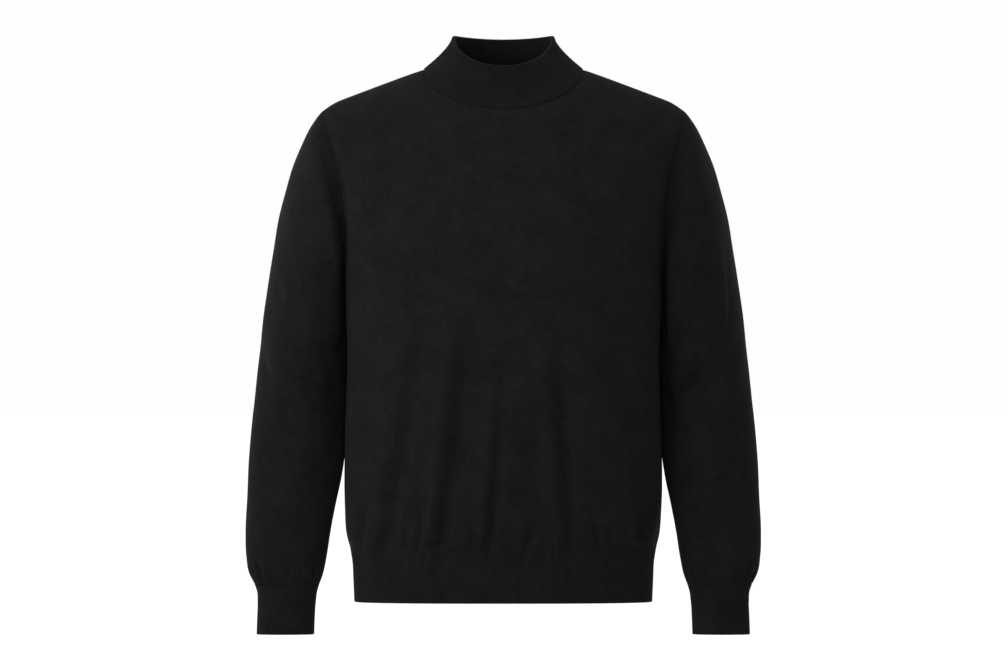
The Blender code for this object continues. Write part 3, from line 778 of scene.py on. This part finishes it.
def body_panel(face, material):
    """The front or the back, from the hem's seam to the neckline and the shoulders."""
    turn = np.linspace(0, np.pi / 2, NECK_COLUMNS + 1)
    turn = turn if face == "front" else np.pi - turn
    neck = neckline(turn)
    shoulder = with_edge_steps(NECK_HALF, TIP_ACROSS, SHOULDER_COLUMNS, low=False)[1:]
    across = np.concatenate([neck[:, 0], shoulder])
    top = np.concatenate([neck[:, 2], ridge(shoulder)])
    half_width = edge_across(np.array([HEM_SEAM]))[0]
    even = np.linspace(0, 1 - EDGE_BAND / half_width, len(across) - len(EDGE_STEPS) - 1)
    share = np.concatenate([even, 1 - EDGE_STEPS[::-1] / half_width, [1]])
    around = np.linspace(np.pi, 0, ARMHOLE_ROWS + 1)
    below = with_edge_steps(HEM_SEAM, ARMPIT, BODY_ROWS, high=False)
    level = len(below)
    edge = np.concatenate([below, armhole(around)[1:, 2]])[:, None]
    fan = above_armpit(edge)
    spread = angle_at(face, across, top) - share * angle_at(face, TIP_ACROSS, TIP_HEIGHT)
    angle = share * angle_at(face, edge_across(edge), edge) + fan * spread
    points = torso_face(face, angle, edge + fan * (top - TIP_HEIGHT))

    run, rise = lengths(points, 1), lengths(points, 0)
    to_side, to_top = to_last(run, 1), to_last(rise, 0)
    lean = -SIDE[face] * grid_normals(points)
    lean[:, 0, 0] = 0
    lean = unit(lean)
    seam_lean = np.zeros((len(edge), 1, 3)) + (1, 0, 0)
    seam_lean[level - 1 :, 0] = armhole_lean(-SIDE[face] * around)
    ridge_slope = np.gradient(ridge(across), across + TINY * np.arange(len(across)))
    top_lean = unit(np.stack([-ridge_slope, 0 * across, 1 + 0 * across], -1))
    top_lean[: NECK_COLUMNS + 1] = neck_lean(turn)
    lean = turned(lean, top_lean[None], to_top)
    lean = turned(lean, seam_lean, to_side)
    lean[0, :, 2] = 0
    lean = unit(lean)
    lean[:, -1] = seam_lean[:, 0]
    lean[-1, :-1] = top_lean[:-1]
    lean[-1, -1] = seam_lean[-1, 0]

    points, lean = mirrored(points), mirrored(lean)
    to_side, to_top, to_seam = (
        mirrored(part[..., None], 1)[..., 0] for part in (to_side, to_top, rise)
    )
    relief = torso_relief(face, points) * smooth(to_side / SIDE_FADE) * smooth(to_top / TOP_FADE)
    side_seam = near(to_side, SEAM_REACH) * (1 - near(points[..., 2] - ARMPIT, SEAM_FREE_HEIGHT))
    relief -= SEAM_DEPTH * np.maximum.reduce(
        [side_seam, near(to_top, SEAM_REACH), near(to_seam, SEAM_REACH)]
    )
    relief -= np.concatenate([0 * below, dip(around[1:])])[:, None] * near(to_side, ARMHOLE_DIP)
    skin = points + relief[..., None] * lean
    sunk = np.zeros((len(MIRROR), len(edge), 1, 3))
    for half, (hand, mirror) in zip(sunk, MIRROR.items()):
        half[level:, 0] = valley(hand, -SIDE[face] * around[1:]) * mirror
    skin += near(to_side, VALLEY_BODY)[..., None] * np.where(points[..., :1] > 0, *sunk)
    middle = len(across) - 1
    skin[0, :, 2] += SEAM_GAP / 2
    skin[:level, [0, -1], 1] += SIDE[face] * SEAM_GAP / 2
    skin[-1, : middle - NECK_COLUMNS + 1, 1] += SIDE[face] * SHOULDER_GAP / 2
    skin[-1, middle + NECK_COLUMNS :, 1] += SIDE[face] * SHOULDER_GAP / 2
    seams[f"hem_{face}"] = skin[0], lean[0]
    uv = cloth_uv(points, middle)
    return shell(face, skin, skin - JERSEY_WALL * lean, uv, material)


def welt(face, material):
    """The ribbed band along the lower edge of a body panel."""
    share = np.linspace(0, 1, RIBS_HEM * RIB_COLUMNS + 1)
    fine = np.linspace(-np.pi / 2, np.pi / 2, FINE_STEPS)
    section = torso_face(face, fine, np.array((HEM_EDGE + HEM_SEAM) / 2))
    angle, width = evenly(section, fine, share)
    edge = HEM_EDGE + RIB_WALL / 2
    height = with_edge_steps(edge, HEM_SEAM, HEM_RIB_ROWS, low=False)[:, None]
    points = torso_face(face, angle, height)
    lean = -SIDE[face] * grid_normals(points)
    to_side = np.minimum(*(np.abs(share - end) * width for end in (0, 1)))[None] + 0 * height
    outward = np.sign(angle)[None, :, None] * np.array((1.0, 0, 0))
    lean = turned(lean, outward, to_side, RIB_LEAN_REACH)
    lean[:, [0, -1]] = ((-1, 0, 0), (1, 0, 0))
    lean[-1, :, 2] = 0
    lean = unit(lean)
    to_seam = HEM_SEAM - height
    relief = torso_relief(face, points) * smooth(to_side / SIDE_FADE)
    relief -= SEAM_DEPTH * np.maximum(near(to_side, SEAM_REACH), near(to_seam, SEAM_REACH))
    ribs = rib_relief(share, RIBS_HEM, to_seam)
    skin = points + (relief + ribs)[..., None] * lean
    lining = points + (relief - RIB_WALL - ribs)[..., None] * lean
    for grid in (skin, lining):
        grid[-1, :, 2] -= SEAM_GAP / 2
        grid[:, [0, -1], 1] += SIDE[face] * SEAM_GAP / 2
    roll = rolled(skin[0], lining[0], np.array((0, 0, -1.0)))[::-1]
    uv = rib_uv(share - 0.5, RIBS_HEM, height - HEM_EDGE)
    return shell(f"hem_{face}", skin, lining, uv, material, roll_low=roll)


def sleeve(hand, material):
    """A sleeve from the armhole to the cuff's seam, made as the left one and mirrored."""
    turn = np.arange(ROUND_SLEEVE) * 2 * np.pi / ROUND_SLEEVE
    at = with_edge_steps(SLEEVE["at"][0], SLEEVE["at"][-1], SLEEVE_ROWS)[:, None]
    points = sleeve_face(turn, at)
    rise = lengths(points, 0)
    to_cuff = to_last(rise, 0)
    lean = ring_normals(points)
    lean = turned(lean, armhole_lean(turn)[None], rise)
    lean = turned(lean, cuff_lean(turn)[None], to_cuff, CUFF_LEAN_REACH)
    lean[0], lean[-1] = armhole_lean(turn), cuff_lean(turn)

    signed = np.where(turn > np.pi, turn - 2 * np.pi, turn)
    to_inner = np.pi - np.abs(signed)
    relief = creases(CREASES[f"sleeve_{hand}"], signed * SLEEVE_RADIUS, at)
    relief += SLEEVE_SWELL * swells(signed * SLEEVE_RADIUS * smooth(to_inner / np.pi * 2), at)
    hold = CUFF_HOLD + (1 - CUFF_HOLD) * smooth(to_cuff / HOLD_RISE)
    relief *= hold * smooth(rise / TOP_FADE) * smooth(to_inner / INNER_REACH)
    armhole_seam = near(rise, SEAM_REACH) * (1 - near(to_inner, SEAM_FREE_TURN))
    relief -= SEAM_DEPTH * np.maximum(armhole_seam, near(to_cuff, SEAM_REACH))
    skin = points + relief[..., None] * lean
    skin += valley(hand, turn) * near(rise, VALLEY_SLEEVE[hand])[..., None]
    behind = np.where(signed < 0, signed + np.pi, signed - np.pi)
    fill = near(behind - FILL_TURN, FILL_SPREAD) * near(at - FILL_AT, FILL_REACH)
    skin[..., 0] -= ARMPIT_FILL * fill * smooth(rise / FILL_START)
    skin[0] += step_off(skin[0], lean[0])
    skin[-1, :, 2] += SEAM_GAP / 2
    skin, lean = skin * MIRROR[hand], lean * MIRROR[hand]

    girth = lengths(np.concatenate([points, points[:, :1]], 1), 1)
    uv = np.stack([girth, -np.concatenate([rise, rise[:, :1]], 1)], -1)
    return shell(f"sleeve_{hand}", skin, skin - JERSEY_WALL * lean, uv, material)


def cuff(hand, material):
    """A ribbed cuff, made as the left one and mirrored."""
    share = np.linspace(0, 1, RIBS_CUFF * RIB_COLUMNS + 1)  # the last place is the first one again
    fine = np.linspace(0, 2 * np.pi, FINE_STEPS)
    level = np.full_like(fine, CUFF_RIB_LEVEL)
    turn = evenly(oval(CUFF, level, level, level, fine), fine, share[:-1])[0]
    low, high = CUFF["at"][0] + RIB_WALL / 2, CUFF["at"][-1]
    height = with_edge_steps(high, low, CUFF_RIB_ROWS, high=False)[:, None]
    points = oval(CUFF, height, height, height, turn)
    to_seam = high - height
    lean = ring_normals(points)
    lean = turned(lean, cuff_lean(turn)[None], to_seam + 0 * turn, CUFF_LEAN_REACH)
    lean[0] = cuff_lean(turn)
    ribs = rib_relief(share[:-1], RIBS_CUFF, to_seam)
    sunk = SEAM_DEPTH * near(to_seam, SEAM_REACH)
    skin = points + (ribs - sunk)[..., None] * lean
    lining = points - (ribs + sunk + RIB_WALL)[..., None] * lean
    skin[0, :, 2] -= SEAM_GAP / 2
    lining[0, :, 2] -= SEAM_GAP / 2
    skin, lining, lean = (grid * MIRROR[hand] for grid in (skin, lining, lean))
    roll = rolled(skin[-1], lining[-1], unit(skin[-1] - skin[-3]))
    seams[f"cuff_{hand}"] = skin[0], lean[0]
    uv = rib_uv(share, RIBS_CUFF, height - CUFF["at"][0])
    return shell(f"cuff_{hand}", skin, lining, uv, material, roll_high=roll)


def collar(material):
    """The ribbed collar, whose rim is the fold at the top of its doubled knit."""
    share = np.linspace(0, 1, RIBS_COLLAR * RIB_COLUMNS + 1)  # the last place is the first one again
    turn = 2 * np.pi * share[:-1]
    climb = with_edge_steps(0, COLLAR_HEIGHT, COLLAR_RIB_ROWS, high=False)[:, None] / COLLAR_HEIGHT
    base = collar_face(turn, climb)
    rise = lengths(base, 0)
    lean = turned(ring_normals(base), neck_lean(turn)[None], rise, RIB_LEAN_REACH)
    lean[0] = neck_lean(turn)
    proud = COLLAR_PROUD * (1 - climb) - COLLAR_SEAM_DEPTH * near(rise, SEAM_REACH)
    ribs = rib_relief(share[:-1], RIBS_COLLAR, rise)
    skin = base + (proud + ribs)[..., None] * lean
    lining = base + (proud - ribs - COLLAR_WALL)[..., None] * lean
    skin[0] += step_off(base[0], lean[0])
    lining[0] += step_off(base[0], lean[0])
    roll = rolled(skin[-1], lining[-1], unit(base[-1] - base[-2]))
    seams["collar"] = skin[0], lean[0]
    uv = rib_uv(share, RIBS_COLLAR, np.concatenate([rise, rise[:, :1]], 1))
    return shell("collar", skin, lining, uv, material, roll_high=roll)


def stitches(name, points, outward, closed, material):
    """A row of small raised stitches along a line of points with outward directions."""
    swing = np.arange(STITCH_FACETS) * 2 * np.pi / STITCH_FACETS
    ball = [(1.0, 0.0, 0.0)]
    for lift in np.linspace(0, np.pi, STITCH_RINGS + 1)[1:-1]:
        ball += [(np.cos(lift), np.sin(lift) * np.cos(b), np.sin(lift) * np.sin(b)) for b in swing]
    ball = np.array(ball + [(-1.0, 0.0, 0.0)])
    faces = []
    for i in range(STITCH_FACETS):
        beside = (i + 1) % STITCH_FACETS
        faces.append([0, 1 + i, 1 + beside])
        for low in range(1, 1 + (STITCH_RINGS - 2) * STITCH_FACETS, STITCH_FACETS):
            high = low + STITCH_FACETS
            faces.append([low + i, high + i, high + beside, low + beside])
        low = len(ball) - 1 - STITCH_FACETS
        faces.append([low + i, len(ball) - 1, low + beside])

    if closed:
        points, outward = (np.concatenate([part, part[:1]]) for part in (points, outward))
    run = lengths(points[None], 1)[0]
    count = int(round(run[-1] / STITCH))
    places = (np.arange(count) + 0.5) * run[-1] / count

    def on_line(values, where):
        return np.stack([np.interp(where, run, values[:, i]) for i in range(3)], -1)

    out = unit(on_line(outward, places))
    way = unit(on_line(points, places + STITCH_AIM) - on_line(points, places - STITCH_AIM))
    way = unit(way + STITCH_SLANT * unit(np.cross(out, way)))
    frame = np.stack([way, np.cross(out, way), out], 1) * STITCH_SIZE[:, None]
    centre = on_line(points, places) + STITCH_RAISE * out
    verts = (centre[:, None] + ball @ frame).reshape(-1, 3)
    faces = [[place + step * len(ball) for place in face] for step in range(count) for face in faces]
    uvs = np.zeros((sum(len(face) for face in faces), 2))
    return build(name, verts, faces, uvs, material)


# Materials

# Yarn: its darkest and its lightest black. The collar's colours are painted shade, darker all over;
# the linking stitches' colours are a painted highlight, lighter, as they stand proud of a seam.
DARK_YARN = (0.00377, 0.00384, 0.00440)
LIGHT_YARN = (0.01040, 0.01062, 0.01195)
# painted shade: the collar's yarn colours, darker than the body's
COLLAR_PAINTED_SHADE_DARK = (0.00288, 0.00290, 0.00334)
COLLAR_PAINTED_SHADE_LIGHT = (0.00795, 0.00800, 0.00925)
# painted highlight: the linking stitches' lightest colour, lighter than the yarn
LINKING_PAINTED_HIGHLIGHT = (0.01560, 0.01590, 0.01790)
LOOP_DEPTH = 0.00022
LINKING_DEPTH = 0.00010
SHEEN = 0.015
COLLAR_SHEEN = 0.030
FINISH = {
    "Metallic": 0.0,
    "Specular IOR Level": 0.03,
    "Sheen Roughness": 0.55,
    "Sheen Tint": (0.86, 0.88, 1.0, 1.0),
}

# A loop of yarn: how steeply its legs climb, how round they are, and how much it rises and falls
LEG_CLIMB = 0.65
LEG_ROUNDNESS = 0.6
LOOP_WAVE = 0.22

# Noise, as scale, detail and roughness: the yarn's fuzz, then the dye with its share and shift
FUZZ = (2600.0, 3.0, 0.65)
DYE = (
    ((30.0, 3.0, 0.7), 1.0, -0.40),
    ((150.0, 3.0, 0.7), 1.0, -0.50),
    ((420.0, 2.0, 0.5), 0.3, -0.15),
)
# painted shade: how much darker the furrows between the loops are coloured than their tops
LOOP_PAINTED_SHADE = 0.45
FUZZ_TONE = 0.35
FUZZ_ROUGHNESS = 0.14
LEAST_ROUGHNESS = 0.80
FUZZ_HEIGHT = 0.28
BUMP_STRENGTH = 0.6
MIX_FACTOR, MIX_DARK, MIX_LIGHT, MIX_RESULT = 0, 6, 7, 2  # a Mix node's sockets for colours


def maths(tree, operation, *values):
    """A Math node's result. A value is a number or another node's output."""
    node = tree.nodes.new("ShaderNodeMath")
    node.operation = operation
    for socket, value in zip(node.inputs, values):
        if isinstance(value, bpy.types.NodeSocket):
            tree.links.new(value, socket)
        else:
            socket.default_value = value
    return node.outputs[0]


def set_sockets(node, values):
    for socket, value in values.items():
        node.inputs[socket].default_value = value


def noise(tree, place, scale, detail, roughness):
    node = tree.nodes.new("ShaderNodeTexNoise")
    set_sockets(node, {"Scale": scale, "Detail": detail, "Roughness": roughness})
    tree.links.new(place, node.inputs["Vector"])
    return node.outputs["Fac"]


def loops_of_yarn(tree, wale, course):
    """Height of plain knitting, from 0 to 1: columns of small V shapes, in the piece's own lengths."""
    uv = tree.nodes.new("ShaderNodeUVMap")
    uv.uv_map = "knit"
    split = tree.nodes.new("ShaderNodeSeparateXYZ")
    tree.links.new(uv.outputs["UV"], split.inputs[0])
    column = maths(tree, "FRACT", maths(tree, "DIVIDE", split.outputs["X"], wale))
    side = maths(tree, "ABSOLUTE", maths(tree, "MULTIPLY_ADD", column, 2.0, -1.0))
    row = maths(tree, "DIVIDE", split.outputs["Y"], course)
    row = maths(tree, "SUBTRACT", row, maths(tree, "MULTIPLY", side, LEG_CLIMB))
    leg = maths(tree, "SINE", maths(tree, "MULTIPLY", side, np.pi))
    leg = maths(tree, "POWER", maths(tree, "MAXIMUM", leg, 0.0), LEG_ROUNDNESS)
    wave = maths(tree, "COSINE", maths(tree, "MULTIPLY", row, 2 * np.pi))
    wave = maths(tree, "MULTIPLY_ADD", wave, LOOP_WAVE, 1 - LOOP_WAVE)
    return maths(tree, "MULTIPLY", leg, wave)


def knit(name, wale, course, dark, light, depth=LOOP_DEPTH, sheen=SHEEN):
    """Matt black knitting: yarn loops, fuzz, faint mottling in the dye, and painted shade that colours
    the furrows between the loops darker.
    """
    material = bpy.data.materials.new(name)
    material.use_nodes = True
    tree = material.node_tree
    shader = tree.nodes["Principled BSDF"]
    place = tree.nodes.new("ShaderNodeTexCoord").outputs["Object"]
    yarn = loops_of_yarn(tree, wale, course)
    fuzz = noise(tree, place, *FUZZ)

    # random fuzz and dye tone, plus painted shade from the loops' height: furrows darker, tops lighter
    tone_and_painted_shade = maths(tree, "MULTIPLY_ADD", yarn, LOOP_PAINTED_SHADE, maths(tree, "MULTIPLY", fuzz, FUZZ_TONE))
    for grain, share, shift in DYE:
        spots = maths(tree, "MULTIPLY_ADD", noise(tree, place, *grain), share, shift)
        tone_and_painted_shade = maths(tree, "ADD", tone_and_painted_shade, spots)
    colour = tree.nodes.new("ShaderNodeMix")
    colour.data_type = "RGBA"
    colour.clamp_factor = True
    set_sockets(colour, {MIX_DARK: (*dark, 1), MIX_LIGHT: (*light, 1)})
    tree.links.new(tone_and_painted_shade, colour.inputs[MIX_FACTOR])
    tree.links.new(colour.outputs[MIX_RESULT], shader.inputs["Base Color"])

    rough = maths(tree, "MULTIPLY_ADD", fuzz, FUZZ_ROUGHNESS, LEAST_ROUGHNESS)
    tree.links.new(rough, shader.inputs["Roughness"])
    height = maths(tree, "MULTIPLY_ADD", fuzz, FUZZ_HEIGHT, yarn)
    bump = tree.nodes.new("ShaderNodeBump")
    set_sockets(bump, {"Strength": BUMP_STRENGTH, "Distance": depth})
    tree.links.new(height, bump.inputs["Height"])
    tree.links.new(bump.outputs["Normal"], shader.inputs["Normal"])

    set_sockets(shader, {**FINISH, "Sheen Weight": sheen})
    return material


# The sweater

jersey = knit("jersey", WALE, COURSE, DARK_YARN, LIGHT_YARN)
rib = knit("rib", RIB_PITCH, RIB_COURSE, DARK_YARN, LIGHT_YARN)
# the collar's material: painted shade, its colours darker than the body's knit
collar_rib_painted_shade = knit("collar_rib_painted_shade", RIB_PITCH, RIB_COURSE, COLLAR_PAINTED_SHADE_DARK, COLLAR_PAINTED_SHADE_LIGHT, sheen=COLLAR_SHEEN)
# painted highlight: the linking stitches' colours run from the body's lightest yarn up to a lighter
# one
linking = knit("linking", RIB_PITCH, RIB_COURSE, LIGHT_YARN, LINKING_PAINTED_HIGHLIGHT, depth=LINKING_DEPTH)

made = {}
for face in SIDE:
    made[face] = body_panel(face, jersey)
    made[f"hem_{face}"] = welt(face, rib)
for hand in MIRROR:
    made[f"sleeve_{hand}"] = sleeve(hand, jersey)
    made[f"cuff_{hand}"] = cuff(hand, rib)
made["collar"] = collar(collar_rib_painted_shade)

# Each piece's CAD node is hidden, and the seams of the ribbed pieces get rows of linking stitches
for name, piece in made.items():
    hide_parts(name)
    rows = []
    if name in seams:
        rows = [stitches(f"linking_{name}", *seams[name], not name.startswith("hem"), linking)]


# Stage, light and camera

FLOOR = -0.778  # below the foot of the view
FLOOR_SIZE = 80
FLOOR_FINISH = {
    "Base Color": (0.45, 0.45, 0.45, 1),
    "Roughness": 0.9,
    "Emission Color": (1, 1, 1, 1),
    "Emission Strength": 0.55,
}

SKY_COLOUR = (0.99, 0.99, 0.99, 1)
SKY_WAY = (-0.22, 0.72, 0.12)  # where the studio's wrapped light is strongest
SKY_BASE = 0.95
SKY_GAIN = 1.00

# A wide low strip, close in front of the chest, so that the light falls off down to the hem
KEY_PLACE = (-0.50, -1.25, 0.02)
KEY_AIM = (0.0, -0.10, -0.15)
KEY_SIZE = (2.2, 0.6)
KEY_POWER = 20

CENTRE = np.array((0.0009, 0.0, -0.3418))  # of the view
FIELD = 1.280  # its width at the sweater
DISTANCE = 12.0
SENSOR = 36
FAR = 200


def studio():
    """White behind everything, and soft light that wraps around from behind and the left."""
    world = bpy.data.worlds.new("studio")
    world.use_nodes = True
    tree = world.node_tree
    place = tree.nodes.new("ShaderNodeTexCoord").outputs["Generated"]
    toward = tree.nodes.new("ShaderNodeVectorMath")
    toward.operation = "DOT_PRODUCT"
    toward.inputs[1].default_value = SKY_WAY
    tree.links.new(place, toward.inputs[0])
    glow = maths(tree, "MULTIPLY_ADD", toward.outputs["Value"], SKY_GAIN, SKY_BASE)
    seen = tree.nodes.new("ShaderNodeLightPath").outputs["Is Camera Ray"]
    unseen = maths(tree, "SUBTRACT", 1.0, seen)
    strength = maths(tree, "MULTIPLY_ADD", maths(tree, "MAXIMUM", glow, 0.0), unseen, seen)
    tree.links.new(strength, tree.nodes["Background"].inputs["Strength"])
    tree.nodes["Background"].inputs["Color"].default_value = SKY_COLOUR
    return world


bpy.ops.mesh.primitive_plane_add(size=FLOOR_SIZE, location=(0, 0, FLOOR))
floor = bpy.context.object
floor.name = "floor"
floor_white = bpy.data.materials.new("floor_white")
floor_white.use_nodes = True
set_sockets(floor_white.node_tree.nodes["Principled BSDF"], FLOOR_FINISH)
floor.data.materials.append(floor_white)
floor.visible_diffuse = False  # or it would light the cloth from below

bpy.context.scene.world = studio()

light = bpy.data.lights.new("key", "AREA")
light.shape = "RECTANGLE"
light.size, light.size_y = KEY_SIZE
light.energy = KEY_POWER
key = bpy.data.objects.new("key", light)
bpy.context.scene.collection.objects.link(key)
key.location = KEY_PLACE
key.visible_camera = False
x, y, z = np.subtract(KEY_PLACE, KEY_AIM)
key.rotation_euler = (np.arctan2(np.hypot(x, y), z), 0, np.arctan2(y, x) + np.pi / 2)

camera = bpy.data.objects.new("camera", bpy.data.cameras.new("camera"))
bpy.context.scene.collection.objects.link(camera)
camera.location = CENTRE + (0, -DISTANCE, 0)
camera.rotation_euler = (np.pi / 2, 0, 0)
camera.data.sensor_width = SENSOR
camera.data.lens = SENSOR * DISTANCE / FIELD
camera.data.clip_end = FAR
bpy.context.scene.camera = camera
bpy.context.scene.view_settings.view_transform = "Standard"
